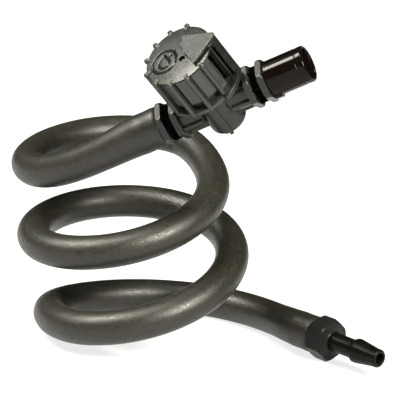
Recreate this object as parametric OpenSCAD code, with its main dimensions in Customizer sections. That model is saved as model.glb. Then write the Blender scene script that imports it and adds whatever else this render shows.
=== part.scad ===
// Coiled micro-irrigation hose assembly: a self-supporting spiral hose with a
// hex barb fitting on its supply end and a quarter-turn regulating valve on
// its delivery end. The valve has a ribbed knob with a pointer and a push-in
// socket for the next tube.
// Millimetres, +Z up. The assembly stands on its lowest loop and the supply
// fitting; the origin is the middle of its footprint, on the floor.

/* [Hose] */
// Outside diameter of the hose
hose_od = 7; // [6:0.1:8]
// Bore of the hose
hose_id = 4; // [3:0.1:4.6]
// Mean radius of the loops
coil_r = 20.5; // [17:0.1:23]
// Where the regular coil starts, below the lead from the valve, in turns
coil_start = 0.95; // [0.93:0.01:0.97]
// Where the regular coil ends, above the lead to the supply fitting, in turns
coil_end = 2.48; // [2.46:0.01:2.5]
// Length of hose pushed over each barb
grip_l = 8; // [6:0.5:9]

/* [Ports] */
// Hex size across flats, on the ports and on the supply fitting
hex_af = 8; // [7:0.1:9]
// Thickness of each hex plate on the ports
plate_t = 1.3; // [1:0.1:1.6]
// Gap between the two plates of a port
plate_gap = 1.8; // [1.4:0.1:2.2]
// Distance from the valve axis to the outer face of the outer plate
port_reach = 11.95; // [11.5:0.05:12.5]
// Waterway diameter through the valve
water_d = 2; // [1.6:0.1:2.4]

/* [Supply fitting] */
// Length of the hex
supply_hex_l = 4; // [3:0.1:5]
// Length of the outer stem and barb together
supply_stem_l = 13; // [11:0.1:15]
// Diameter of the outer stem
supply_stem_d = 4; // [3.8:0.05:4.2]
// Diameter of the outer barb at its crest
supply_crest_d = 5.1; // [4.6:0.05:5.4]

/* [Socket] */
// Outside diameter of the push-in socket
socket_od = 7.5; // [7.4:0.1:8]
// Bore of the socket mouth
socket_id = 6.2; // [6:0.1:6.4]
// Length of the socket
socket_l = 8.6; // [8:0.1:11]

/* [Valve and knob] */
// Diameter of the valve body
body_d = 8; // [7.8:0.1:8.6]
// Depth of the body below the port axis
body_drop = 6.05; // [5.6:0.05:7]
// Height of the knob's rim above the port axis
rim_z = 5.35; // [5.2:0.05:6]
// Height of the knob
knob_h = 10.2; // [10:0.1:12]
// Diameter of the knob's top disc
knob_d = 14; // [13.6:0.1:15]
// How far the grip ribs stand out of the knob
rib_out = 0.8; // [0.5:0.1:1]
// Turn of the pointer from the line of the ports, in degrees
pointer_turn = 8; // [0:1:12]

/* [Hidden] */
$fn = 48;

// --- places -----------------------------------------------------------------
// Middle of the coil: the centre of its loops half way down
coil_mid = [-14.55, 3.05, 22.6];
// Shift of the loops' centre over one turn, going down
coil_step = [5.2, -6.6, -12];
// Extra drop that opens the first and last turns
coil_open = -2.65;
// Lean of each loop, turned about X and then Y
coil_lean = [10.8, -9.1];

// Port axis crossing of the valve, and the turns that aim the ports and knob
valve_at = [1.6, -15.65, 53.9];
valve_turn = [40, -30, -15];
// Hex end of the supply fitting where the hose butts on it
supply_at = [27.1, -5.95, 4.6];
supply_yaw = -45;
supply_roll = 20;
// Waypoints of the hose from the valve's grip round to the regular coil
lead_in = [
    [-13.2, -12, 44.6], [-20.9, -10, 39.9], [-29.16, -5.44, 35],
    [-34.91, 0.42, 33], [-37.27, 7.74, 33.4], [-33.94, 16.32, 35],
    [-26.84, 23.53, 36.5], [-18.24, 26.96, 37.4], [-9.53, 26.01, 37.6],
    [-3.1, 22.24, 36.9]];
// Waypoints from the regular coil along the floor to the fitting's grip
lead_out = [
    [-28.09, 4.1, 3.6], [-20.52, 11.46, 3.6], [-9.24, 16.2, 3.6],
    [2.07, 16.56, 3.55], [10.6, 13.3, 3.55], [16.8, 7.1, 3.95]];

// --- derived sizes ----------------------------------------------------------
water_r = water_d / 2;
tail_r = hose_id / 2 - 0.05;
hex_r = hex_af / 2 / cos(30);
plate_in = port_reach - 2 * plate_t - plate_gap;
neck_r = 2.9;
spigot_r = 2.45;
spigot_in = 5.2;
boss_r = 3.2;
seat_step = 0.3;
plug_r = 2.6;
bore_r = plug_r + 0.05;
stem_r = 1.8;
bonnet_r = 3.9;
bonnet_top = rim_z + 4.85;
cavity_r = 4.9;
knob_top = rim_z + knob_h;
knob_r = knob_d / 2;
stem_top = knob_top - 2;
roof_t = 1.75;
rib_pitch = 30;
rib_w = 0.9;
oring_w = 0.8;

// --- frames -----------------------------------------------------------------
module at_valve() { translate(valve_at) rotate(valve_turn) children(); }
module at_supply() {
    translate(supply_at) rotate([0, 0, supply_yaw]) rotate([supply_roll, 0, 0])
        children();
}
// Turns a shape made along Z so that it runs along X
module along_x(x = 0) { translate([x, 0, 0]) rotate([0, 90, 0]) children(); }

function turned(v, a) =
    let (y1 = v[1] * cos(a[0]) - v[2] * sin(a[0]),
         z1 = v[1] * sin(a[0]) + v[2] * cos(a[0]),
         x2 = v[0] * cos(a[1]) + z1 * sin(a[1]),
         z2 = -v[0] * sin(a[1]) + z1 * cos(a[1]))
    [x2 * cos(a[2]) - y1 * sin(a[2]), x2 * sin(a[2]) + y1 * cos(a[2]), z2];

// --- hose route -------------------------------------------------------------
// A point of the coil, k turns along it; the middle is at k = 1.5
function coil_point(k) =
    let (s = k - 1.5, a = 360 * k)
    coil_mid + coil_step * s + [0, 0, coil_open * s * s * s]
    + turned([coil_r * cos(a), -coil_r * sin(a), 0],
             [coil_lean[0], coil_lean[1], 0]);
function unit(v) = v / norm(v);

port_dir = turned([1, 0, 0], valve_turn);
supply_dir = [cos(supply_yaw), sin(supply_yaw), 0];
hose_top = valve_at - port_dir * port_reach;
top_grip = hose_top - port_dir * grip_l;
end_grip = supply_at - supply_dir * grip_l;
// A smooth run through waypoints, from the second to the last but one
function smooth(p, n) = [for (i = [1:len(p) - 3], j = [0:n - 1])
    let (u = j / n, a = p[i - 1], b = p[i], c = p[i + 1], d = p[i + 2])
    0.5 * (2 * b + (c - a) * u + (2 * a - 5 * b + 4 * c - d) * u * u
           + (3 * b - a - 3 * c + d) * u * u * u)];
coil_rings = 54;
route = concat(
    [for (i = [0:3]) hose_top + (top_grip - hose_top) * i / 4],
    smooth(concat([hose_top, top_grip], lead_in,
                  [coil_point(coil_start), coil_point(coil_start + 0.06)]), 3),
    [for (i = [0:coil_rings - 1])
        coil_point(coil_start + (coil_end - coil_start) * i / coil_rings)],
    smooth(concat([coil_point(coil_end - 0.06), coil_point(coil_end)], lead_out,
                  [end_grip, supply_at]), 3),
    [for (i = [0:4]) end_grip + (supply_at - end_grip) * i / 4]);
// How much the hose swells where it is pushed over a barb, ring by ring
function swell(i, n) = i < 3 || i > n - 4 ? 0.45 : i == 3 || i == n - 4 ? 0.25 : 0;

function ring(p, dir, r, sides) =
    let (side = unit(cross(dir, [0, 0, 1])), up = cross(side, dir))
    [for (j = [0:sides - 1]) let (a = 360 * j / sides)
        p + side * (r * cos(a)) + up * (r * sin(a))];

// A hollow tube swept along a list of points
module swept_tube(path, r_out, r_in, sides_out, sides_in) {
    n = len(path);
    dirs = [for (i = [0:n - 1]) unit(path[min(i + 1, n - 1)] - path[max(i - 1, 0)])];
    so = sides_out;
    si = sides_in;
    base = n * so;
    points = concat(
        [for (i = [0:n - 1]) each ring(path[i], dirs[i], r_out + swell(i, n), so)],
        [for (i = [0:n - 1]) each ring(path[i], dirs[i], r_in + swell(i, n), si)]);
    outer = [for (i = [0:n - 2], j = [0:so - 1])
        let (a = i * so + j, b = i * so + (j + 1) % so)
        each [[a, b, b + so], [a, b + so, a + so]]];
    inner = [for (i = [0:n - 2], j = [0:si - 1])
        let (a = base + i * si + j, b = base + i * si + (j + 1) % si)
        each [[a, b + si, b], [a, a + si, b + si]]];
    // Each end is an annulus between rings of equal count
    first = [for (j = [0:so - 1]) let (k = (j + 1) % so)
        each [[j, base + j, base + k], [j, base + k, k]]];
    last = [for (j = [0:so - 1]) let (k = (j + 1) % so, o = (n - 1) * so, q = base + (n - 1) * si)
        each [[o + j, q + k, q + j], [o + j, o + k, q + k]]];
    polyhedron(points, concat(outer, inner, first, last), convexity = 10);
}

// --- shared shapes ----------------------------------------------------------
module tube(r_out, r_in, h) {
    difference() {
        cylinder(r = r_out, h = h);
        translate([0, 0, -1]) cylinder(r = r_in, h = h + 2);
    }
}
module torus(r_mid, r_wire) {
    rotate_extrude() translate([r_mid, 0]) circle(r = r_wire, $fn = 24);
}
// A hexagonal plate along X whose flats lie square to Z
module hex_plate(x, t, chamfer = 0.35) {
    along_x(x) intersection() {
        rotate([0, 0, 90]) cylinder(r = hex_r, h = t, $fn = 6);
        rotate_extrude() polygon([[0, 0], [hex_r - chamfer, 0], [hex_r, chamfer],
                                  [hex_r, t - chamfer], [hex_r - chamfer, t], [0, t]]);
    }
}
// Barbed tail along +X, from x = 0, with its crests pointing back
module barbs(r, crest, l, count) {
    step = l / count;
    along_x() rotate_extrude() polygon(concat(
        [[0, 0], [r, 0]],
        [for (i = [0:count - 1]) each [[r, i * step + step * 0.3],
            [crest, i * step + step * 0.38], [crest, i * step + step * 0.45],
            [r - 0.1, (i + 1) * step]]],
        [[0, l]]));
}
// Six thin radial webs around X
module webs(x, l, r0, r1, w = 0.5) {
    for (i = [0:5]) rotate([60 * i, 0, 0])
        translate([x, -w / 2, r0]) cube([l, w, r1 - r0]);
}

// --- hose and supply fitting ------------------------------------------------
module spiral_hose() {
    color([0.24, 0.24, 0.21])
        swept_tube(route, hose_od / 2, hose_id / 2, 20, 20);
}

module supply_barb() {
    stem = supply_stem_l - 6.8;
    color([0.2, 0.21, 0.2]) at_supply() difference() {
        union() {
            hex_plate(0, supply_hex_l, 0.45);
            mirror([1, 0, 0]) barbs(tail_r, tail_r + 0.45, grip_l - 0.5, 2);
            along_x(supply_hex_l) rotate_extrude() polygon([
                [0, -0.1], [supply_stem_d / 2, -0.1], [supply_stem_d / 2, stem],
                [supply_crest_d / 2 - 0.15, stem + 0.25],
                [supply_crest_d / 2, stem + 0.5], [supply_crest_d / 2, stem + 1.3],
                [1.95, stem + 5.6], [1.93, supply_stem_l - 0.25],
                [1.7, supply_stem_l], [0, supply_stem_l]]);
        }
        along_x(-grip_l) cylinder(r = 1.2, h = grip_l + supply_hex_l + supply_stem_l + 1);
    }
}

// --- ports ------------------------------------------------------------------
// What both tails share: outer hex plate, neck and sealed spigot, along +X
module tail_core() {
    hex_plate(port_reach - plate_t, plate_t);
    along_x(port_reach - plate_t - plate_gap)
        cylinder(r = spigot_r, h = plate_gap + 0.1);
    along_x(spigot_in) rotate_extrude() polygon([
        [0, 0], [spigot_r - 0.2, 0], [spigot_r, 0.3], [spigot_r, 1],
        [spigot_r - 0.75, 1], [spigot_r - 0.75, 1 + oring_w + 0.05],
        [spigot_r, 1 + oring_w + 0.05], [spigot_r, plate_in + plate_t - spigot_in],
        [0, plate_in + plate_t - spigot_in]]);
}
module tail_oring() { along_x(spigot_in + 1 + oring_w / 2 + 0.025) torus(2.1, oring_w / 2); }
// Slotted ring that locks a tail in its port, in the gap between the plates
module lock_ring() {
    x = plate_in + plate_t;
    difference() {
        union() {
            along_x(x) cylinder(r = neck_r, h = plate_gap);
            webs(x + 0.05, plate_gap - 0.1, spigot_r + 0.2, 3.9);
        }
        along_x(x - 1) cylinder(r = spigot_r, h = plate_gap + 2);
    }
}

module inlet_tail() {
    color([0.28, 0.28, 0.27]) at_valve() mirror([1, 0, 0]) difference() {
        union() {
            tail_core();
            translate([port_reach, 0, 0]) barbs(tail_r, tail_r + 0.45, grip_l - 0.5, 2);
        }
        along_x(spigot_in - 1) cylinder(r = water_r, h = 20);
    }
}
module inlet_oring() { color([0.1, 0.1, 0.1]) at_valve() mirror([1, 0, 0]) tail_oring(); }
module inlet_lock_ring() { color([0.2, 0.2, 0.2]) at_valve() mirror([1, 0, 0]) lock_ring(); }

module outlet_tail() {
    color([0.28, 0.28, 0.27]) at_valve() difference() {
        union() {
            tail_core();
            along_x(port_reach) cylinder(r = 2.2, h = 2.4);
        }
        along_x(spigot_in - 1) cylinder(r = water_r, h = 12);
        along_x(port_reach - 1) cylinder(r = 1.55, h = 5);
    }
}
module outlet_oring() { color([0.1, 0.1, 0.1]) at_valve() tail_oring(); }
module outlet_lock_ring() { color([0.2, 0.2, 0.2]) at_valve() lock_ring(); }
// Metering insert that sets the drip rate, pressed into the outlet tail
module flow_insert() {
    color([0.35, 0.35, 0.33]) at_valve() along_x(port_reach - 1)
        tube(1.55, 0.45, 3.3);
}
module outlet_seal() {
    color([0.12, 0.12, 0.12]) at_valve() along_x(port_reach + 1.5)
        tube(socket_id / 2 - seat_step - 0.05, 2.2, 0.9);
}
module outlet_socket() {
    r = socket_od / 2;
    b = socket_id / 2;
    color([0.16, 0.13, 0.12]) at_valve() along_x(port_reach) difference() {
        rotate_extrude() polygon([[0, 0], [r - 0.25, 0], [r, 0.3],
            [r, socket_l - 0.35], [r - 0.35, socket_l], [0, socket_l]]);
        translate([0, 0, -1]) cylinder(r = 2.2, h = 3);
        translate([0, 0, 1.5]) cylinder(r = b - seat_step, h = socket_l);
        translate([0, 0, 2.5]) cylinder(r = b, h = socket_l);
        translate([0, 0, socket_l - 0.4]) cylinder(r1 = b, r2 = b + 0.45, h = 0.45);
    }
}

// --- valve ------------------------------------------------------------------
module stop_post(a) {
    rotate([0, 0, a]) translate([3.3, -0.5, bonnet_top - 0.1]) cube([0.55, 1, 1.7]);
}
// Six stiffening webs between the body and a port's inner plate
module gussets() {
    for (i = [0:5]) rotate([30 + 60 * i, 0, 0]) translate([3.4, -0.4, boss_r - 0.3])
        cube([plate_in + 0.2 - 3.4, 0.8, 0.9]);
}
module valve_body() {
    r = body_d / 2;
    color([0.3, 0.3, 0.29]) at_valve() difference() {
        union() {
            rotate_extrude() polygon([[0, -body_drop], [r - 1.3, -body_drop],
                [r - 0.5, -body_drop + 0.3], [r, -body_drop + 0.9], [r, rim_z - 0.6],
                [bonnet_r, rim_z - 0.6], [bonnet_r, bonnet_top], [0, bonnet_top]]);
            along_x(-plate_in) cylinder(r = boss_r, h = 2 * plate_in);
            hex_plate(plate_in, plate_t);
            mirror([1, 0, 0]) hex_plate(plate_in, plate_t);
            gussets();
            mirror([1, 0, 0]) gussets();
            // Moulding rib down the near side of the body
            rotate([0, 0, -85]) translate([r - 0.4, -0.35, -body_drop + 0.7])
                cube([0.85, 0.7, 4]);
            stop_post(70);
            stop_post(-70);
        }
        translate([0, 0, -4.3]) cylinder(r = bore_r, h = 20);
        translate([0, 0, 9.3]) cylinder(r = bore_r + 0.3, h = 0.6);
        along_x(-plate_in) cylinder(r = water_r, h = 2 * plate_in);
        along_x(spigot_in - 0.2) cylinder(r = spigot_r + 0.05, h = 6);
        mirror([1, 0, 0]) along_x(spigot_in - 0.2) cylinder(r = spigot_r + 0.05, h = 6);
    }
}
module valve_plug() {
    color([0.45, 0.44, 0.42]) at_valve() difference() {
        union() {
            rotate_extrude() polygon([[0, -4.1], [plug_r - 0.2, -4.1], [plug_r, -3.9],
                [plug_r, -3.3], [1.9, -3.3], [1.9, -2.5], [plug_r, -2.5],
                [plug_r, 2.5], [1.9, 2.5], [1.9, 3.3], [plug_r, 3.3],
                [plug_r, 8.7], [stem_r, 8.7], [stem_r, stem_top], [0, stem_top]]);
        }
        along_x(-5) cylinder(r = water_r, h = 10);
        // Flat that keys the knob
        translate([1.2, -3, 11]) cube([3, 6, 5]);
    }
}
module plug_oring(z) {
    color([0.1, 0.1, 0.1]) at_valve() translate([0, 0, z]) torus(2.26, 0.36);
}
module plug_oring_lower() { plug_oring(-2.9); }
module plug_oring_upper() { plug_oring(2.9); }
module thrust_washer() {
    color([0.85, 0.84, 0.8]) at_valve() translate([0, 0, 9]) tube(2.6, 1.9, 0.3);
}
module retaining_ring() {
    color([0.6, 0.6, 0.62]) at_valve() translate([0, 0, 9.3]) difference() {
        tube(bore_r + 0.3, 2, 0.6);
        rotate([0, 0, 200]) translate([1, -0.6, -1]) cube([4, 1.2, 3]);
    }
}

// --- knob -------------------------------------------------------------------
// Angles of the grip ribs, around from the pointer
rib_angles = [for (k = [2:10]) 12 + rib_pitch * k];

// A ring sector, from angle a0 to a1
module sector(r0, r1, a0, a1, h) {
    steps = ceil((a1 - a0) / 6);
    linear_extrude(h) polygon(concat(
        [for (i = [0:steps]) let (a = a0 + (a1 - a0) * i / steps) [r1 * cos(a), r1 * sin(a)]],
        [for (i = [steps:-1:0]) let (a = a0 + (a1 - a0) * i / steps) [r0 * cos(a), r0 * sin(a)]]));
}
module knob_cap() {
    recess_at = [-3, -0.4];
    recess_r = 2.8;
    color([0.33, 0.33, 0.32]) at_valve() difference() {
        union() {
            difference() {
                rotate_extrude() polygon([[0, rim_z], [knob_r + 0.15, rim_z],
                    [knob_r + 0.15, rim_z + 1], [knob_r - 0.1, rim_z + 1.15],
                    [knob_r - 0.1, knob_top - 0.5], [knob_r, knob_top - 0.35],
                    [knob_r, knob_top - 0.12], [knob_r - 0.12, knob_top], [0, knob_top]]);
                translate([0, 0, rim_z - 1]) cylinder(r = cavity_r, h = knob_h - roof_t + 1);
                // Pocket in the foot of each panel
                for (a = rib_angles) if (a < 300) rotate([0, 0, a + rib_pitch / 2])
                    translate([knob_r - 0.75, -1.35, rim_z + 1.15]) cube([2, 2.7, 1.5]);
                // Deep pocket beside the pointer
                translate([0, 0, rim_z + 1.15])
                    sector(knob_r - 1.6, knob_r + 2, -42, pointer_turn - 23, knob_h - 1.75);
            }
            // Grip ribs, rounded on the outside
            for (a = rib_angles) rotate([0, 0, a]) {
                translate([knob_r - 0.6, -rib_w / 2 + 0.1, rim_z + 0.05])
                    cube([0.6 + rib_out - rib_w / 2, rib_w - 0.2, knob_h - 0.25]);
                translate([knob_r + rib_out - rib_w / 2, 0, rim_z + 0.05])
                    cylinder(r = rib_w / 2, h = knob_h - 0.25);
            }
            // Hub on the stem, with the tab that meets the stop posts
            translate([0, 0, bonnet_top + 0.3]) cylinder(r = 3, h = knob_top - roof_t - bonnet_top);
            rotate([0, 0, 45]) translate([2.5, -0.7, bonnet_top + 0.3])
                cube([1.35, 1.4, knob_top - roof_t - bonnet_top]);
        }
        difference() {
            translate([0, 0, bonnet_top]) cylinder(r = stem_r, h = stem_top - bonnet_top);
            translate([1.2, -3, 11]) cube([3, 6, 5]);
        }
        translate([recess_at[0], recess_at[1], knob_top - 0.25]) cylinder(r = recess_r, h = 1);
        translate([1.4, -1.7, knob_top - 1.2]) cylinder(r = 0.55, h = 2);
        translate([0, 0, knob_top - 0.01]) cylinder(r = 9, h = 1);
    }
}
module pointer_lever() {
    thick = 0.6;
    fin_r = knob_r + 0.2;
    tip = [[8.2, -0.95], [8.25, 0]];
    color([0.4, 0.4, 0.38]) at_valve() rotate([0, 0, pointer_turn]) difference() {
        union() {
            // Arrowhead on the disc
            translate([0, 0, knob_top]) linear_extrude(thick) polygon(concat(
                [[6.5, 1.1], [2, 3.65], [1.7, 2.2], [0.9, 1.5], [2.1, -2.5], [2.8, -5.1]],
                tip));
            // Fin down the side, under the arrowhead's point
            translate([0, 0, rim_z]) linear_extrude(knob_h + 0.2) polygon(concat(
                tip, [for (a = [9:-31 / 5:-22]) fin_r * [cos(a), sin(a)]]));
            // Foot along the rim
            translate([0, 0, rim_z]) sector(knob_r + 0.15, 8.6, -60, 0, 1.1);
        }
        translate([0, 0, knob_top - 1]) cylinder(r = 1.75, h = 3);
    }
}

spiral_hose();
supply_barb();
inlet_tail();
inlet_oring();
inlet_lock_ring();
valve_body();
valve_plug();
plug_oring_lower();
plug_oring_upper();
thrust_washer();
retaining_ring();
knob_cap();
pointer_lever();
outlet_lock_ring();
outlet_oring();
outlet_tail();
flow_insert();
outlet_seal();
outlet_socket();
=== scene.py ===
import math

import bmesh
import bpy
from mathutils import Euler, Matrix, Vector, noise


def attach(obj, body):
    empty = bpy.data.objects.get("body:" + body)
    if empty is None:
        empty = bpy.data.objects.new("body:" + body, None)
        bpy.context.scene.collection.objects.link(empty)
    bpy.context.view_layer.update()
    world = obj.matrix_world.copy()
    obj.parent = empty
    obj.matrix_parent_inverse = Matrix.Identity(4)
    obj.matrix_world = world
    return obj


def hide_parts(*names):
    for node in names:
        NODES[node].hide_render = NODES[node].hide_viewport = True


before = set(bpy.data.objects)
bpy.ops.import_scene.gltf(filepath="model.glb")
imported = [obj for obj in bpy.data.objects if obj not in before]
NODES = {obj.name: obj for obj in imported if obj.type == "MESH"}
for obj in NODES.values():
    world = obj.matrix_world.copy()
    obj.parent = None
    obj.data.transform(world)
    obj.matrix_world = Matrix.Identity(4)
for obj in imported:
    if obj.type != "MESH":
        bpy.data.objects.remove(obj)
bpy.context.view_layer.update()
MM = 0.001
FIXED, KNOB = "hose_and_valve", "knob"

# --- sizes and places, in millimetres ---------------------------------------------
# These are the CAD's, apart from LEAD_IN and DISC_R.
HOSE_R, HOSE_BORE_R = 3.5, 2.0
COIL_R, COIL_START, COIL_END = 20.5, 0.95, 2.48
COIL_MID = Vector((-14.55, 3.05, 22.6))
COIL_STEP = Vector((5.2, -6.6, -12))
COIL_OPEN = -2.65
COIL_LEAN = (10.8, -9.1)
VALVE_AT, VALVE_TURN = Vector((1.6, -15.65, 53.9)), (40, -30, -15)
SUPPLY_AT, SUPPLY_YAW, SUPPLY_ROLL = Vector((27.1, -5.95, 4.6)), -45, 20
PORT_REACH, GRIP_L = 11.95, 8
# Waypoints between the coil and the grips. The CAD's first waypoint after the valve's grip doubles back
# inside the grip, so LEAD_IN leaves it out.
LEAD_IN = [(-20.9, -10, 39.9), (-29.16, -5.44, 35), (-34.91, 0.42, 33), (-37.27, 7.74, 33.4),
           (-33.94, 16.32, 35), (-26.84, 23.53, 36.5), (-18.24, 26.96, 37.4), (-9.53, 26.01, 37.6),
           (-3.1, 22.24, 36.9)]
LEAD_OUT = [(-28.09, 4.1, 3.6), (-20.52, 11.46, 3.6), (-9.24, 16.2, 3.6),
            (2.07, 16.56, 3.55), (10.6, 13.3, 3.55), (16.8, 7.1, 3.95)]
HEX_AF, PLATE_T, PLATE_GAP = 8, 1.3, 1.8
PLATE_IN = PORT_REACH - 2 * PLATE_T - PLATE_GAP
SPIGOT_R, SPIGOT_IN, BOSS_R, NECK_R, WATER_R = 2.45, 5.2, 3.2, 2.9, 1.0
SOCKET_R, SOCKET_BORE_R, SOCKET_L = 3.75, 3.1, 8.6
BODY_R, BODY_DROP, RIM_Z, KNOB_H, KNOB_R, RIB_OUT = 4, 6.05, 5.35, 10.2, 7, 0.8
BONNET_TOP, BONNET_R, CAVITY_R, ROOF_T = RIM_Z + 4.85, 3.9, 4.9, 1.75
KNOB_TOP = RIM_Z + KNOB_H
# The disc at the knob's top, how deep its rim is, and the top of what stands under it
DISC_R, DISC_RIM, SIDE_TOP = 7.15, 0.68, KNOB_TOP - 0.41
SUPPLY_HEX_L, SUPPLY_STEM_L, SUPPLY_STEM_R = 4, 13, 2.0


def turn(angles):
    """Turns about X, then Y, then Z, in degrees."""
    return Euler([math.radians(a) for a in angles], "XYZ").to_matrix().to_4x4()


VALVE = Matrix.Translation(VALVE_AT) @ turn(VALVE_TURN)
SUPPLY = Matrix.Translation(SUPPLY_AT) @ turn((0, 0, SUPPLY_YAW)) @ turn((SUPPLY_ROLL, 0, 0))
ALONG_X = Matrix.Rotation(math.radians(90), 4, "Y")
BACK_X = Matrix.Rotation(math.radians(-90), 4, "Y")

# --- camera ----------------------------------------------------------------------
camera_data = bpy.data.cameras.new("camera")
camera_data.lens = 180
camera_data.sensor_width = 36
camera_data.clip_start, camera_data.clip_end = 0.01, 20
camera = bpy.data.objects.new("camera", camera_data)
camera.matrix_world = (Matrix.Translation((0.00005, -0.40376, 0.13059))
                       @ Matrix.Rotation(math.radians(76), 4, "X")
                       @ Matrix.Rotation(math.radians(5), 4, "Z"))
bpy.context.scene.collection.objects.link(camera)
bpy.context.scene.camera = camera


# --- mesh helpers ------------------------------------------------------------------
def finish_mesh(bm, name, sharp, bevel=0.0, body=FIXED):
    """Makes an object in metres of a bmesh in millimetres. Edges past the angle sharp stay sharp."""
    bmesh.ops.recalc_face_normals(bm, faces=bm.faces)
    mesh = bpy.data.meshes.new(name)
    bm.to_mesh(mesh)
    bm.free()
    mesh.transform(Matrix.Scale(MM, 4))
    for p in mesh.polygons:
        p.use_smooth = True
    mesh.set_sharp_from_angle(angle=math.radians(sharp))
    obj = bpy.data.objects.new(name, mesh)
    bpy.context.scene.collection.objects.link(obj)
    if bevel:
        m = obj.modifiers.new("edges", "BEVEL")
        m.width = bevel * MM
        m.segments = 2
        m.limit_method = "ANGLE"
        m.angle_limit = math.radians(30)
        m.harden_normals = True
        m.use_clamp_overlap = True
    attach(obj, body)
    return obj


def loft(bm, sections, closed=False, m=None):
    """Joins rings of points, all of one length, with quads. Its ends are capped unless it is closed."""
    rings = [[bm.verts.new((m @ Vector(p)) if m else p) for p in s] for s in sections]
    n = len(rings[0])
    pairs = list(zip(rings, rings[1:])) + ([(rings[-1], rings[0])] if closed else [])
    for a, b in pairs:
        for j in range(n):
            k = (j + 1) % n
            bm.faces.new((a[j], a[k], b[k], b[j]))
    if not closed:
        bm.faces.new(list(reversed(rings[0])))
        bm.faces.new(rings[-1])


def circle(r, z, sides):
    """A ring of points about Z."""
    return [(r * math.cos(2 * math.pi * j / sides), r * math.sin(2 * math.pi * j / sides), z)
            for j in range(sides)]


def lathe(bm, profile, m, sides):
    """Turns a closed profile of (z, r) points about Z."""
    loft(bm, [circle(r, z, sides) for z, r in profile], True, m)


def hexagon(bm, z0, thick, inner_r, chamfer, m):
    """A nut-like hexagon about Z with its corners chamfered at both faces, soft edges and a bore."""
    sides, soft, steps = 96, 0.07, 4
    apothem = HEX_AF / 2
    corner = apothem / math.cos(math.radians(30))

    def ring(z, cone, inset):
        points = []
        for j in range(sides):
            a = 2 * math.pi * j / sides
            off_flat = (a + math.pi / 6) % (math.pi / 3) - math.pi / 6
            across = min((apothem - inset) / math.cos(off_flat), cone)
            points.append((across * math.cos(a), across * math.sin(a), z))
        return points

    # From a face inwards: how deep, how far out the corners reach, how far in the flats stand
    levels = [(0.0, corner - chamfer - soft, soft), (soft * 0.3, corner - chamfer, soft * 0.3),
              (soft, corner - chamfer + soft, 0.0)]
    for i in range(1, steps + 1):
        slope = (chamfer - soft) * i / steps
        levels.append((soft + slope, corner - chamfer + soft + slope, 0.0))
    rings = [ring(z0 + deep, cone, inset) for deep, cone, inset in levels]
    rings += [ring(z0 + thick - deep, cone, inset) for deep, cone, inset in reversed(levels)]
    rings += [circle(inner_r, z, sides) for z in (z0 + thick, z0)]
    loft(bm, rings, True, m)


def prism(bm, outline, z0, z1, m):
    """An upright prism on an outline of (x, y) points."""
    loft(bm, [[(x, y, z) for x, y in outline] for z in (z0, z1)], False, m)


def block(bm, x0, x1, y0, y1, z0, z1, m):
    """A box between two x, two y and two z."""
    prism(bm, [(x0, y0), (x1, y0), (x1, y1), (x0, y1)], z0, z1, m)


def arc(r, a0, a1):
    """Points about Z from one angle to the other, 3 degrees apart or closer."""
    n = max(1, math.ceil(abs(a1 - a0) / 3))
    return [(r * math.cos(math.radians(a0 + (a1 - a0) * i / n)),
             r * math.sin(math.radians(a0 + (a1 - a0) * i / n))) for i in range(n + 1)]


def about_z(angle):
    return Matrix.Rotation(math.radians(angle), 4, "Z")


def smoothstep(a, b, x):
    """Goes smoothly from 0 at a to 1 at b."""
    t = min(1.0, max(0.0, (x - a) / (b - a)))
    return t * t * (3 - 2 * t)


# --- hose --------------------------------------------------------------------------
def coil_point(k):
    """The hose's middle line at turn k of the coil."""
    s, a = k - 1.5, 2 * math.pi * k
    lean = turn((COIL_LEAN[0], COIL_LEAN[1], 0))
    return (COIL_MID + COIL_STEP * s + Vector((0, 0, COIL_OPEN * s ** 3))
            + lean @ Vector((COIL_R * math.cos(a), -COIL_R * math.sin(a), 0)))


def smooth_run(points, n):
    """A smooth run through waypoints, from the second to the last but one."""
    out = []
    for a, b, c, d in zip(points, points[1:], points[2:], points[3:]):
        for j in range(n):
            u = j / n
            out.append(0.5 * (2 * b + (c - a) * u + (2 * a - 5 * b + 4 * c - d) * u * u
                              + (3 * b - a - 3 * c + d) * u ** 3))
    return out


def hose_route():
    """The hose's middle line, from the valve to the supply fitting."""
    port = (VALVE.to_3x3() @ Vector((1, 0, 0))).normalized()
    supply = (SUPPLY.to_3x3() @ Vector((1, 0, 0))).normalized()
    top = VALVE_AT - port * PORT_REACH
    top_grip = top - port * GRIP_L
    end_grip = SUPPLY_AT - supply * GRIP_L
    lead_in = [Vector(p) for p in LEAD_IN]
    lead_out = [Vector(p) for p in LEAD_OUT]
    coil_first = [coil_point(COIL_START), coil_point(COIL_START + 0.06)]
    coil_last = [coil_point(COIL_END - 0.06), coil_point(COIL_END)]
    grip_rings, coil_rings, fine = 14, 150, 10
    route = [top.lerp(top_grip, i / grip_rings) for i in range(grip_rings)]
    route += smooth_run([top, top_grip] + lead_in + coil_first, fine)
    route += [coil_point(COIL_START + (COIL_END - COIL_START) * i / coil_rings) for i in range(coil_rings)]
    route += smooth_run(coil_last + lead_out + [end_grip, SUPPLY_AT], fine)
    route += [end_grip.lerp(SUPPLY_AT, i / grip_rings) for i in range(grip_rings + 1)]
    return route


def relax(route, rounds):
    """Evens out small changes of bend. The first and last few points, over the barbs, stay."""
    keep = 8
    for _ in range(rounds):
        middle = [(a + b * 2 + c) / 4 for a, b, c in zip(route, route[1:], route[2:])]
        route = route[:keep] + middle[keep - 1:-(keep - 1)] + route[-keep:]
    return route


def stretch(distance, wide, near, far, crest_high):
    """How far a tail pushes the hose's outside out, at a distance from the hose's end. Its barbs show."""
    crests = sum(math.exp(-((distance - at) / 0.9) ** 2) for at in (1.6, 5.2))
    return wide * (1 - smoothstep(near, far, distance)) + crest_high * crests


def uneven(p):
    """Small waves in the hose's outside."""
    return 0.022 * noise.noise(p * 0.16) + 0.006 * noise.noise(p * 0.9)


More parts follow.
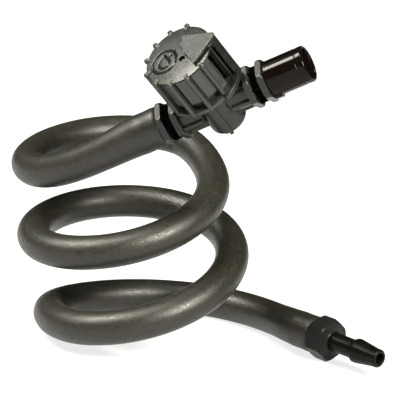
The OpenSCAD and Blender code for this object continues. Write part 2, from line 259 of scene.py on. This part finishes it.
def make_hose():
    """Sweeps the hose. Returns it with its middle line and its length, in metres."""
    route = relax(hose_route(), 30)
    run = [0.0]
    for a, b in zip(route, route[1:]):
        run.append(run[-1] + (b - a).length)
    total = run[-1]
    sides, round_r, bore_grow = 56, 0.35, 0.42

    def outer_r(from_top, from_end):
        r = HOSE_R + stretch(from_top, 0.6, 3.5, 17, 0.07) + stretch(from_end, 0.3, 4, 14, 0.05)
        edge = min(from_top, from_end)
        if edge < round_r:
            r -= round_r - math.sqrt(max(0.0, round_r ** 2 - (round_r - edge) ** 2))
        return r

    outer, inner = [], []
    side = None
    for i, p in enumerate(route):
        way = (route[min(i + 1, len(route) - 1)] - route[max(i - 1, 0)]).normalized()
        if side is None:
            side = way.cross(Vector((0, 0, 1))).normalized()
        else:
            side = (side - way * side.dot(way)).normalized()
        up = side.cross(way)
        around = [side * math.cos(2 * math.pi * j / sides) + up * math.sin(2 * math.pi * j / sides)
                  for j in range(sides)]
        from_top, from_end = run[i], total - run[i]
        r = outer_r(from_top, from_end)
        outer.append([p + out * (r + uneven(p + out * r)) for out in around])
        # The bore needs fewer rings than the outside
        if i % 3 == 0 or i == len(route) - 1:
            on_tail = max(1 - smoothstep(6, 11, from_top), 1 - smoothstep(6, 11, from_end))
            inner.append([p + out * (HOSE_BORE_R + bore_grow * on_tail) for out in around])
    bm = bmesh.new()
    loft(bm, outer + inner[::-1], True)
    return finish_mesh(bm, "hose", sharp=60), [p * MM for p in route], total * MM


# --- materials -----------------------------------------------------------------------
def plastic(name, dark, light, rough, grain, blotch, bump, edge_highlight=0.0, gloss_vary=0.08, specular=0.35,
            waves=0.0, tint=None):
    """Moulded plastic: grain and blotches of colour, uneven gloss, fine bump, and painted highlights that
    make sharp edges paler.
    The sizes of grain and blotch are in millimetres."""
    mat = bpy.data.materials.new(name)
    mat.use_nodes = True
    nt = mat.node_tree
    nodes, links = nt.nodes, nt.links
    shader = nodes["Principled BSDF"]
    shader.inputs["Specular IOR Level"].default_value = specular
    coords = nodes.new("ShaderNodeTexCoord")

    def noise_node(size, detail, roughness=0.55):
        n = nodes.new("ShaderNodeTexNoise")
        n.inputs["Scale"].default_value = 1000.0 / size
        n.inputs["Detail"].default_value = detail
        n.inputs["Roughness"].default_value = roughness
        links.new(coords.outputs["Object"], n.inputs["Vector"])
        return n.outputs["Fac"]

    def ramp(value, low, high, a, b):
        r = nodes.new("ShaderNodeMapRange")
        r.inputs["From Min"].default_value, r.inputs["From Max"].default_value = low, high
        r.inputs["To Min"].default_value, r.inputs["To Max"].default_value = a, b
        links.new(value, r.inputs["Value"])
        return r.outputs["Result"]

    def mix(factor, a, b):
        m = nodes.new("ShaderNodeMix")
        m.data_type = "RGBA"
        if isinstance(factor, float):
            m.inputs["Factor"].default_value = factor
        else:
            links.new(factor, m.inputs["Factor"])
        for socket, value in (("A", a), ("B", b)):
            target = [i for i in m.inputs if i.name == socket and i.type == "RGBA"][0]
            if isinstance(value, tuple):
                target.default_value = (*value, 1.0)
            else:
                links.new(value, target)
        return [o for o in m.outputs if o.type == "RGBA"][0]

    blotches = noise_node(blotch, 4.0, 0.6)
    fine = noise_node(grain, 2.0, 0.5)
    colour = mix(ramp(blotches, 0.32, 0.68, 0.0, 1.0), dark, light)
    if tint:
        patches = noise_node(blotch * 2.6, 2.0)
        colour = mix(ramp(patches, 0.48, 0.72, 0.0, 0.8), colour, tint)
    darker, paler = tuple(c * 0.86 for c in light), tuple(min(1, c * 1.16) for c in light)
    speck = mix(ramp(fine, 0.3, 0.7, 0.0, 1.0), darker, paler)
    colour = mix(0.35, colour, speck)
    # Painted highlight: sharp edges, found by pointiness, are made paler to stand for the light they catch
    if edge_highlight:
        geometry = nodes.new("ShaderNodeNewGeometry")
        edge = ramp(geometry.outputs["Pointiness"], 0.53, 0.62, 0.0, edge_highlight)
        colour = mix(edge, colour, tuple(min(1, c * 2.0 + 0.02) for c in light))
    links.new(colour, shader.inputs["Base Color"])
    gloss = ramp(noise_node(blotch * 0.45, 3.0), 0.3, 0.7, rough - gloss_vary, rough + gloss_vary)
    links.new(gloss, shader.inputs["Roughness"])
    bump_node = nodes.new("ShaderNodeBump")
    bump_node.inputs["Strength"].default_value = bump
    bump_node.inputs["Distance"].default_value = 0.03 * MM
    links.new(fine, bump_node.inputs["Height"])
    if waves:
        wide = nodes.new("ShaderNodeBump")
        wide.inputs["Strength"].default_value = waves
        wide.inputs["Distance"].default_value = 0.2 * MM
        links.new(noise_node(blotch * 0.7, 2.0), wide.inputs["Height"])
        links.new(wide.outputs["Normal"], bump_node.inputs["Normal"])
    links.new(bump_node.outputs["Normal"], shader.inputs["Normal"])
    return mat


HOSE_MAT = plastic("hose_plastic", (0.0035, 0.0034, 0.0023), (0.014, 0.0138, 0.0099), 0.43, grain=0.3,
                   blotch=1.1, bump=1.6, gloss_vary=0.12, specular=0.42, tint=(0.018, 0.0132, 0.009),
                   waves=0.08)
FITTING_MAT = plastic("fitting_plastic", (0.0015, 0.0018, 0.0015), (0.003, 0.0035, 0.003), 0.33, grain=0.3,
                      blotch=1.8, bump=0.2, edge_highlight=0.3, gloss_vary=0.06, specular=0.1)
VALVE_MAT = plastic("valve_plastic", (0.006, 0.006, 0.0057), (0.010, 0.010, 0.0096), 0.32, grain=0.2,
                    blotch=2.5, bump=0.25, edge_highlight=0.2, gloss_vary=0.05, specular=0.34)
PLATE_MAT = plastic("plate_plastic", (0.003, 0.003, 0.0029), (0.007, 0.007, 0.0068), 0.22, grain=0.3,
                    blotch=1.2, bump=0.2, edge_highlight=0.2, gloss_vary=0.06, specular=0.4)
KNOB_MAT = plastic("knob_plastic", (0.011, 0.0113, 0.0105), (0.018, 0.0187, 0.0173), 0.32, grain=0.25,
                   blotch=2.0, bump=0.25, edge_highlight=0.15, gloss_vary=0.06, specular=0.5)
DISC_MAT = plastic("disc_plastic", (0.003, 0.0034, 0.0028), (0.008, 0.0087, 0.0073), 0.27, grain=0.6,
                   blotch=3.0, bump=0.1, gloss_vary=0.07, specular=0.30, waves=0.08)
POINTER_MAT = plastic("pointer_plastic", (0.005, 0.0054, 0.0047), (0.012, 0.0127, 0.0112), 0.26, grain=0.6,
                      blotch=2.5, bump=0.1, gloss_vary=0.07, specular=0.4, waves=0.08)
SOCKET_MAT = plastic("socket_plastic", (0.0022, 0.0012, 0.0009), (0.0034, 0.0021, 0.0016), 0.12, grain=0.4,
                     blotch=3.0, bump=0.0, gloss_vary=0.02, specular=0.12)
# Painted shade: near-black plastic with no reflection, put in the port gaps, the knob's pocket and the
# disc's grooves where shade falls
PAINTED_SHADE_MAT = plastic("painted_shade_plastic", (0.001, 0.001, 0.001), (0.002, 0.002, 0.002), 0.6, grain=0.3, blotch=2.0,
                   bump=0.1, specular=0.0)
PLUG_MAT = plastic("plug_plastic", (0.16, 0.16, 0.15), (0.21, 0.21, 0.2), 0.35, grain=0.3, blotch=2.0,
                   bump=0.15)
WASHER_MAT = plastic("washer_plastic", (0.55, 0.54, 0.5), (0.66, 0.65, 0.61), 0.45, grain=0.3, blotch=2.0,
                     bump=0.15)
SEAL_MAT = plastic("seal_rubber", (0.006, 0.006, 0.006), (0.010, 0.010, 0.010), 0.5, grain=0.15, blotch=1.0,
                   bump=0.3)


def spring_steel():
    mat = plastic("spring_steel", (0.42, 0.42, 0.43), (0.55, 0.55, 0.56), 0.3, grain=0.2, blotch=1.5,
                  bump=0.15)
    mat.node_tree.nodes["Principled BSDF"].inputs["Metallic"].default_value = 1.0
    return mat


STEEL_MAT = spring_steel()


def dress(obj, mat, slot, *nodes):
    """Gives a piece its material, and names the CAD nodes that it stands for. The slot is not used."""
    obj.data.materials.clear()
    obj.data.materials.append(mat)
    if nodes:
        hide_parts(*nodes)
    return obj


# --- supply fitting ---------------------------------------------------------------------
def supply_fitting():
    """The hex fitting: barbed tail inside the hose, stem with one barb outside."""
    bm = bmesh.new()
    m = SUPPLY @ ALONG_X
    tail_r, base, stem = HOSE_BORE_R - 0.05, SUPPLY_HEX_L, SUPPLY_STEM_L - 6.8
    tail = [(-7.5, tail_r - 0.1), (-5.7, tail_r + 0.42), (-5.4, tail_r + 0.42), (-5.1, tail_r),
            (-3.75, tail_r - 0.1), (-2.0, tail_r + 0.42), (-1.7, tail_r + 0.42), (-1.4, tail_r)]
    outer = [(base + z, r) for z, r in [
        (-0.1, SUPPLY_STEM_R + 0.3), (0.1, SUPPLY_STEM_R + 0.3), (0.22, SUPPLY_STEM_R + 0.12),
        (0.42, SUPPLY_STEM_R), (stem - 0.1, SUPPLY_STEM_R), (stem + 0.05, SUPPLY_STEM_R + 0.1),
        (stem + 0.25, 2.38), (stem + 0.42, 2.49), (stem + 0.6, 2.55), (stem + 1.05, 2.55),
        (stem + 1.5, 2.49), (stem + 3.2, 2.26), (stem + 5.1, 2.0), (stem + 5.7, 1.94),
        (SUPPLY_STEM_L - 0.5, 1.93), (SUPPLY_STEM_L - 0.25, 1.88), (SUPPLY_STEM_L - 0.08, 1.76),
        (SUPPLY_STEM_L, 1.6), (SUPPLY_STEM_L, 1.3), (SUPPLY_STEM_L - 0.1, 1.21)]]
    lathe(bm, tail + [(0.1, tail_r)] + outer + [(SUPPLY_STEM_L + base - 2, 1.15), (-7.5, 1.15)], m, 64)
    hexagon(bm, 0, SUPPLY_HEX_L, 1.8, 0.5, m)
    # Shallow step round the outer face of the hexagon
    lathe(bm, [(SUPPLY_HEX_L - 0.2, 3.1), (SUPPLY_HEX_L + 0.12, 3.1), (SUPPLY_HEX_L + 0.16, 3.0),
               (SUPPLY_HEX_L + 0.16, 1.8), (SUPPLY_HEX_L - 0.2, 1.8)], m, 64)
    # Mould parting line along the stem and barb
    for a in (70, 250):
        line = [(0.4, SUPPLY_STEM_R), (stem - 0.05, SUPPLY_STEM_R), (stem + 0.6, 2.54),
                (stem + 1.05, 2.54), (stem + 5.6, 1.93), (SUPPLY_STEM_L - 0.5, 1.92)]
        loft(bm, [[(r - 0.1, -0.05, base + z), (r + 0.035, -0.05, base + z), (r + 0.035, 0.05, base + z),
                   (r - 0.1, 0.05, base + z)] for z, r in line], False, m @ about_z(a))
    return dress(finish_mesh(bm, "supply_fitting", sharp=30), FITTING_MAT, "fitting", "supply_barb")


# --- ports --------------------------------------------------------------------------------
def tail_piece(name, m, node, tail):
    """Outer hexagon, neck and sealed spigot about Z, with what follows on the outside."""
    bm = bmesh.new()
    x = PORT_REACH - PLATE_T
    hexagon(bm, x, PLATE_T, 1.6, 0.3, m)
    spigot = [(SPIGOT_IN, 2.25), (SPIGOT_IN + 0.3, SPIGOT_R), (SPIGOT_IN + 1, SPIGOT_R),
              (SPIGOT_IN + 1, 1.7), (SPIGOT_IN + 1.85, 1.7), (SPIGOT_IN + 1.85, SPIGOT_R),
              (x + 0.1, SPIGOT_R)]
    lathe(bm, spigot + tail + [(SPIGOT_IN, WATER_R)], m, 64)
    return dress(finish_mesh(bm, name, sharp=30), PLATE_MAT, "valve_plastic", node)


def tails():
    r = HOSE_BORE_R - 0.05
    x = PORT_REACH
    barbed = [(x + 0.1, r), (x + 1.1, r), (x + 1.4, r + 0.42), (x + 1.7, r + 0.42), (x + 3.7, r - 0.1),
              (x + 4.8, r), (x + 5.1, r + 0.42), (x + 5.4, r + 0.42), (x + 7.5, r - 0.1), (x + 7.5, WATER_R)]
    plain = [(x + 0.1, 2.2), (x + 2.4, 2.2), (x + 2.4, 1.56), (x - 1, 1.56), (x - 1, WATER_R)]
    tail_piece("inlet_tail_piece", VALVE @ BACK_X, "inlet_tail", barbed)
    tail_piece("outlet_tail_piece", VALVE @ ALONG_X, "outlet_tail", plain)


def lock_rings():
    """The slotted ring in each port's gap: a sleeve with six webs."""
    for name, m, node in (("inlet_lock", VALVE @ BACK_X, "inlet_lock_ring"),
                          ("outlet_lock", VALVE @ ALONG_X, "outlet_lock_ring")):
        bm = bmesh.new()
        x = PLATE_IN + PLATE_T
        lathe(bm, [(x + 0.01, SPIGOT_R + 0.01), (x + 0.01, NECK_R), (x + PLATE_GAP - 0.01, NECK_R),
                   (x + PLATE_GAP - 0.01, SPIGOT_R + 0.01)], m, 64)
        for i in range(6):
            web = [(SPIGOT_R + 0.2, -0.3), (3.88, -0.21), (3.88, 0.21), (SPIGOT_R + 0.2, 0.3)]
            prism(bm, web, x + 0.03, x + PLATE_GAP - 0.03, m @ about_z(60 * i))
        # The rings take the painted shade: near-black, for the shade deep in each port's gap
        dress(finish_mesh(bm, name, sharp=30, bevel=0.05), PAINTED_SHADE_MAT, "valve_plastic", node)


def socket():
    bm = bmesh.new()
    m = VALVE @ ALONG_X @ Matrix.Translation((0, 0, PORT_REACH))
    r, b, length = SOCKET_R, SOCKET_BORE_R, SOCKET_L
    foot = [(0.02, 2.25), (0.02, r - 0.16), (0.06, r - 0.07), (0.14, r - 0.02), (0.3, r), (0.5, r)]
    groove = [(length - 1.72, r), (length - 1.66, r - 0.05), (length - 1.5, r - 0.07),
              (length - 1.34, r - 0.05), (length - 1.28, r)]
    mouth = [(length - 0.42, r), (length - 0.22, r - 0.05), (length - 0.08, r - 0.16),
             (length - 0.01, r - 0.32), (length, r - 0.42)]
    inside = [(length, b + 0.2), (length - 0.05, b + 0.12), (length - 0.35, b), (2.5, b), (2.5, b - 0.3),
              (1.5, b - 0.3), (1.5, 2.25)]
    lathe(bm, foot + groove + mouth + inside, m, 112)
    # Small gate lug under the socket's foot
    loft(bm, [[(r + out, -half, 0.04), (r + out, half, 0.04), (r + out, half, top), (r + out, -half, top)]
              for out, half, top in ((-0.3, 0.9, 1.9), (0.4, 0.7, 1.5))], False, m @ about_z(-53))
    return dress(finish_mesh(bm, "socket", sharp=34), SOCKET_MAT, "socket_plastic", "outlet_socket")


# --- valve ----------------------------------------------------------------------------------
def valve_shell():
    """The hollow body and bonnet, with both ports' bosses, inner plates and gussets."""
    bm = bmesh.new()
    r, bottom, bore = BODY_R, -BODY_DROP, 2.65
    foot = [(bottom, 0.001), (bottom, r - 1.5), (bottom + 0.06, r - 1.15), (bottom + 0.22, r - 0.72),
            (bottom + 0.5, r - 0.36), (bottom + 0.85, r - 0.12), (bottom + 1.2, r - 0.02), (bottom + 1.5, r)]
    bonnet = [(RIM_Z - 0.6, r), (RIM_Z - 0.5, BONNET_R), (BONNET_TOP - 0.15, BONNET_R),
              (BONNET_TOP, BONNET_R - 0.15)]
    inside = [(BONNET_TOP, bore), (9.9, bore), (9.9, bore + 0.3), (9.3, bore + 0.3), (9.3, bore),
              (-4.3, bore), (-4.3, 0.001)]
    lathe(bm, foot + bonnet + inside, VALVE, 96)
    for way in (ALONG_X, BACK_X):
        m = VALVE @ way
        boss = [(2.9, WATER_R), (2.9, BOSS_R), (PLATE_IN + 0.1, BOSS_R), (PLATE_IN + 0.1, SPIGOT_R + 0.05),
                (SPIGOT_IN - 0.2, SPIGOT_R + 0.05), (SPIGOT_IN - 0.2, WATER_R)]
        lathe(bm, boss, m, 64)
        hexagon(bm, PLATE_IN, PLATE_T, SPIGOT_R + 0.05, 0.3, m)
        for a in (30, 90, 150, 210, 270, 330):
            block(bm, BOSS_R - 0.2, 3.8, -0.4, 0.4, 3.3, PLATE_IN + 0.1, m @ about_z(a))
    return bm


def valve():
    bm = valve_shell()
    # Moulding rib down the near side of the body, with a groove's worth of step beside it
    rib = VALVE @ about_z(-85)
    block(bm, BODY_R - 0.4, BODY_R + 0.45, -0.36, 0.36, -BODY_DROP + 0.55, RIM_Z - 0.7, rib)
    block(bm, BODY_R - 0.4, BODY_R + 0.12, -1.15, -0.3, -BODY_DROP + 0.9, RIM_Z - 0.7, rib)
    # Stop posts on the bonnet
    for a in (70, -70):
        block(bm, 3.3, 3.85, -0.5, 0.5, BONNET_TOP - 0.1, BONNET_TOP + 1.6, VALVE @ about_z(a))
    piece = finish_mesh(bm, "valve_body_piece", sharp=30, bevel=0.07)
    dress(piece, VALVE_MAT, "valve_plastic", "valve_body")


# --- knob -------------------------------------------------------------------------------------
RIB_ANGLES = [12 + 30 * k for k in range(2, 11)]


def knob_core(bm):
    """The shell under the disc: its outline steps in at the deep pocket, and the cavity is inside."""
    core, pocket, sides = KNOB_R - 1.0, KNOB_R - 1.55, 240

    def outline(z):
        points = []
        for j in range(sides):
            a = 360 * j / sides
            local = (a + 180) % 360 - 180
            deep = smoothstep(-43, -42, local) * (1 - smoothstep(-15, -14, local))
            r = core - (core - pocket) * deep
            points.append((r * math.cos(math.radians(a)), r * math.sin(math.radians(a)), z))
        return points

    top, foot, roof = KNOB_TOP - DISC_RIM, RIM_Z + 0.5, KNOB_TOP - ROOF_T
    loft(bm, [circle(0.6, top, sides), outline(top), outline(foot), circle(CAVITY_R, foot, sides),
              circle(CAVITY_R, roof, sides), circle(0.6, roof, sides)], True, VALVE)


def knob_disc(bm, groove_shade):
    """The domed disc with its ringed drop, grooves and hole. Keeps only the faces of the grooves and hole,
    which carry painted shade, if groove_shade, or else all the others."""
    sides = 300
    field_at, field_r = Vector((-3.0, -0.4)), 2.7
    hole_at, hole_r = Vector((0.9, -1.6)), 0.6
    drop_r, drop_low, drop_tip = 1.15, -0.5, 1.75

    def groove(distance, width, depth):
        """How far down a groove goes, at a distance from its middle."""
        return -depth * math.exp(-(distance / width) ** 2)

    def off_drop(q):
        """About how far a point is from the outline of a plain water drop."""
        if q.y < 0:
            return (q - Vector((0, drop_low))).length - drop_r
        if q.y > drop_tip:
            return (q - Vector((0, drop_tip))).length
        wide = math.sqrt(drop_r ** 2 - drop_low ** 2) * (1 - (q.y / drop_tip) ** 1.3)
        return (abs(q.x) - wide) * 0.8

    def height(x, y):
        """How far the disc's face stands above its dome."""
        p = Vector((x, y))
        q = p - field_at
        z = groove(q.length - field_r, 0.17, 0.33) + groove(off_drop(q), 0.16, 0.32)
        z -= 0.5 * (1 - smoothstep(hole_r - 0.08, hole_r + 0.05, (p - hole_at).length))
        # Short curved groove round the hub, beside the pointer's tail
        a = math.degrees(math.atan2(y, x))
        beside = smoothstep(100, 112, a) * (1 - smoothstep(160, 172, a))
        return z + groove(p.length - 1.5, 0.15, 0.3) * beside

    def top_ring(r):
        dome = KNOB_TOP - 0.35 * (r * r) / DISC_R ** 2
        return [(x, y, dome + height(x, y)) for x, y, _ in circle(r, 0, sides)]

    radii = [0.001] + [0.1 * i for i in range(1, 70)] + [DISC_R - 0.14]
    edge = [(DISC_R - 0.07, KNOB_TOP - 0.38), (DISC_R, KNOB_TOP - 0.46), (DISC_R, KNOB_TOP - 0.62),
            (DISC_R - 0.06, KNOB_TOP - DISC_RIM), (6.0, KNOB_TOP - 0.7), (0.001, KNOB_TOP - 0.7)]
    loft(bm, [top_ring(r) for r in radii] + [circle(r, z, sides) for r, z in edge], True)

    # Faces down in the grooves and the hole: these get the near-black painted shade
    def in_groove(face):
        c = face.calc_center_median()
        on_top = face.normal.z > -0.5 and c.z > KNOB_TOP - 1.6 and c.xy.length < 6.5
        return on_top and height(c.x, c.y) < -0.06

    bm.normal_update()
    bmesh.ops.delete(bm, geom=[f for f in bm.faces if in_groove(f) != groove_shade], context="FACES")
    bm.transform(VALVE)


def knob_side(bm):
    """The rim band, panels, beads and ribs round the knob."""
    # Rim band round the foot
    band = [(RIM_Z + 0.02, CAVITY_R + 0.4), (RIM_Z, CAVITY_R + 0.5), (RIM_Z, KNOB_R + 0.5),
            (RIM_Z + 0.1, KNOB_R + 0.62), (RIM_Z + 0.85, KNOB_R + 0.62), (RIM_Z + 0.95, KNOB_R + 0.5),
            (RIM_Z + 1.15, KNOB_R - 0.4), (RIM_Z + 1.15, CAVITY_R + 0.4)]
    lathe(bm, band, VALVE, 144)
    # Flat panels between the ribs, short of the foot
    for a in RIB_ANGLES[:-1]:
        m = VALVE @ about_z(a + 15)
        near, far, face = -0.92, 1.27, 6.72
        loft(bm, [[(5.7, near, z0), (face, near, z0 + d), (face, far, z0 + d), (5.7, far, z0)]
                  for z0, d in ((RIM_Z + 2.3, 0.25), (SIDE_TOP, 0.0))], False, m)
    # Narrow panel at the pocket's side, with a small ridge on its far edge
    m = VALVE @ about_z(-36.5)
    block(bm, 5.2, 6.4, -0.95, 1.0, RIM_Z + 1.1, SIDE_TOP, m)
    block(bm, 5.9, 6.62, 0.78, 1.0, RIM_Z + 3.2, KNOB_TOP - 2.4, m)
    # Domed beads at the ribs' top ends, standing out past the disc
    for a in RIB_ANGLES:
        at = VALVE @ about_z(a) @ Matrix.Translation((KNOB_R + 0.3, 0, KNOB_TOP - 0.42))
        bmesh.ops.create_icosphere(bm, subdivisions=3, radius=0.58, matrix=at)
    # Grip ribs, with a round nose and a rounded top
    for a in RIB_ANGLES:
        m = VALVE @ about_z(a)
        nose, width = KNOB_R + RIB_OUT, 0.45
        outline = [(KNOB_R - 0.9, -width), (nose - width, -width)]
        outline += [(nose - width + width * math.cos(math.radians(t)), width * math.sin(math.radians(t)))
                    for t in range(-75, 76, 15)]
        outline += [(nose - width, width), (KNOB_R - 0.9, width)]
        centre = KNOB_R - 0.2
        sections = []
        for z, s in ((RIM_Z + 0.02, 0.9), (RIM_Z + 0.1, 1.0), (KNOB_TOP - 0.5, 1.0), (KNOB_TOP - 0.3, 0.96),
                     (KNOB_TOP - 0.16, 0.86), (KNOB_TOP - 0.08, 0.7)):
            sections.append([(centre + (x - centre) * s, y * s, z) for x, y in outline])
        loft(bm, sections, False, m)


def knob():
    bm = bmesh.new()
    knob_core(bm)
    knob_side(bm)
    # Hub on the stem, with the tab that meets the stop posts
    lathe(bm, [(BONNET_TOP + 0.3, 1.82), (BONNET_TOP + 0.3, 3), (KNOB_TOP - ROOF_T + 0.1, 3),
               (KNOB_TOP - ROOF_T + 0.1, 1.82)], VALVE, 64)
    block(bm, 2.5, 3.85, -0.7, 0.7, BONNET_TOP + 0.3, KNOB_TOP - ROOF_T + 0.1, VALVE @ about_z(45))
    piece = finish_mesh(bm, "knob_cap_piece", sharp=30, bevel=0.07, body=KNOB)
    dress(piece, KNOB_MAT, "knob_plastic", "knob_cap")
    # Painted shade: a near-black lining of the deep pocket beside the pointer, and a thin near-black sheet
    # at its side, where the pocket lies in shade
    bm = bmesh.new()
    pocket_shade_outline = arc(KNOB_R - 1.45, -29.5, -15.2) + arc(KNOB_R - 1.6, -15.2, -29.5)
    prism(bm, pocket_shade_outline, RIM_Z + 1.1, SIDE_TOP, VALVE)
    block(bm, KNOB_R - 1.6, KNOB_R + 0.7, -1.6, -1.56, RIM_Z + 1.12, KNOB_TOP - 0.43, VALVE)
    dress(finish_mesh(bm, "knob_pocket_shade", sharp=32, body=KNOB), PAINTED_SHADE_MAT, "knob_plastic")
    # The disc in its own plastic, and its grooves and hole in near-black painted shade
    for name, mat, groove_shade in (("knob_disc", DISC_MAT, False), ("knob_groove_shade", PAINTED_SHADE_MAT, True)):
        bm = bmesh.new()
        knob_disc(bm, groove_shade)
        dress(finish_mesh(bm, name, sharp=40, body=KNOB), mat, "knob_plastic")


def pointer():
    """The arrowhead on the disc, with its fin and foot."""
    bm = bmesh.new()
    z0, z1 = KNOB_TOP - 0.02, KNOB_TOP + 0.6
    wedge = [(1.5, 3.9), (6.3, 2.0), (8.12, 1.2), (8.22, 1.05), (8.25, 0.3), (8.18, 0.1), (3.5, -4.7),
             (2.4, -2.25), (1.55, -0.9), (1.45, 0.3), (0.75, 1.6), (1.35, 2.4)]
    prism(bm, wedge, z0, z1, VALVE)
    # Fin down the side, under the arrowhead's point
    fin = [(5.9, 2.2), (6.9, 2.15), (8.1, 1.15), (8.2, 1.0), (8.23, 0.35), (8.17, 0.2), (6.98, -1.78),
           (5.9, -1.6)]
    prism(bm, fin, RIM_Z + 0.02, z0 + 0.1, VALVE)
    # Foot along the rim
    foot = arc(8.55, -52, 2) + arc(6.9, 2, -52)
    prism(bm, foot, RIM_Z + 0.02, RIM_Z + 1.1, VALVE)
    piece = finish_mesh(bm, "pointer", sharp=30, bevel=0.1, body=KNOB)
    dress(piece, POINTER_MAT, "pointer_plastic", "pointer_lever")


# --- build -------------------------------------------------------------------------------------
hose, hose_line, hose_length = make_hose()
dress(hose, HOSE_MAT, "hose", "spiral_hose")
fitting = supply_fitting()
tails()
lock_rings()
socket()
valve()
knob()
pointer()
for node, mat in (("inlet_oring", SEAL_MAT), ("outlet_oring", SEAL_MAT), ("plug_oring_lower", SEAL_MAT),
                  ("plug_oring_upper", SEAL_MAT), ("outlet_seal", SEAL_MAT), ("valve_plug", PLUG_MAT),
                  ("flow_insert", PLUG_MAT), ("thrust_washer", WASHER_MAT), ("retaining_ring", STEEL_MAT)):
    shown = NODES[node]
    shown.data.materials.clear()
    shown.data.materials.append(mat)


# --- floor and light ------------------------------------------------------------------------------
def floor():
    """A plain pale floor that gives some light of its own."""
    bm = bmesh.new()
    half = 3.0
    corners = ((-half, -half, 0), (half, -half, 0), (half, half, 0), (-half, half, 0))
    bm.faces.new([bm.verts.new(p) for p in corners])
    mesh = bpy.data.meshes.new("floor")
    bm.to_mesh(mesh)
    bm.free()
    obj = bpy.data.objects.new("floor", mesh)
    bpy.context.scene.collection.objects.link(obj)
    mat = bpy.data.materials.new("floor_white")
    mat.use_nodes = True
    shader = mat.node_tree.nodes["Principled BSDF"]
    shader.inputs["Base Color"].default_value = (0.25, 0.25, 0.25, 1)
    shader.inputs["Roughness"].default_value = 0.9
    shader.inputs["Specular IOR Level"].default_value = 0.1
    shader.inputs["Emission Color"].default_value = (1, 1, 1, 1)
    shader.inputs["Emission Strength"].default_value = 0.8
    mesh.materials.append(mat)


def softbox(name, azimuth, elevation, distance, size, power, colour):
    """A square light that faces the object. Azimuth 0 is the camera's side."""
    data = bpy.data.lights.new(name, "AREA")
    data.shape = "RECTANGLE"
    data.size = size
    data.size_y = size
    data.energy = power
    data.color = colour
    obj = bpy.data.objects.new(name, data)
    a, e = math.radians(azimuth), math.radians(elevation)
    way = Vector((math.sin(a) * math.cos(e), -math.cos(a) * math.cos(e), math.sin(e)))
    target = Vector((0, 0, 0.03))
    obj.location = target + way * distance
    obj.rotation_mode = "QUATERNION"
    obj.rotation_quaternion = (-way).to_track_quat("-Z", "Y")
    bpy.context.scene.collection.objects.link(obj)


floor()
softbox("key_left", -86, 50, 0.8, 0.26, 11, (1.0, 0.97, 0.84))
softbox("key_right", 38, 36, 0.8, 0.26, 18, (1.0, 0.97, 0.84))
softbox("side_left", -116, 38, 0.9, 0.20, 0.6, (0.95, 1.0, 0.97))
softbox("top_soft", -50, 70, 0.9, 0.30, 4, (1.0, 0.98, 0.9))
bpy.context.scene.view_settings.view_transform = "Standard"
world = bpy.data.worlds.new("world")
bpy.context.scene.world = world
world.use_nodes = True
world.node_tree.nodes["Background"].inputs["Color"].default_value = (1, 1, 1, 1)
world.node_tree.nodes["Background"].inputs["Strength"].default_value = 0.02
